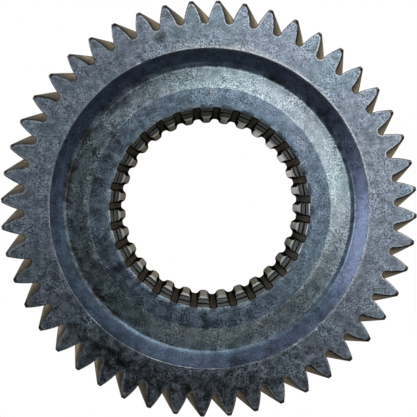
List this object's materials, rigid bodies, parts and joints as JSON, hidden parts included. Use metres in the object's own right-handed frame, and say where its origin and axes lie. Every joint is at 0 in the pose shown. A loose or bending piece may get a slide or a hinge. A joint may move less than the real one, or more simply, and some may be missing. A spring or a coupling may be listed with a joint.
{
  "type": "helical gear",
  "caption": "Right-hand helical gear with deep pointed teeth, a recessed web on both faces and a splined bore with a snap ring groove.",
  "frame": {"origin": "centre of the back hub face, on the bore axis, which is the lowest point of the gear as it lies", "axes": "+Z along the bore axis, out of the front face; +X close to a spline space and to a tooth of the front face"},
  "size_m": [0.1988, 0.1988, 0.045],
  "materials": {
    "gear_steel": "oil-stained, blue-grey hardened steel, satin, with brown film on the tooth flanks"
  },
  "bodies": {
    "root": {"helical_gear": "gear_steel"}
  },
  "joints": []
}
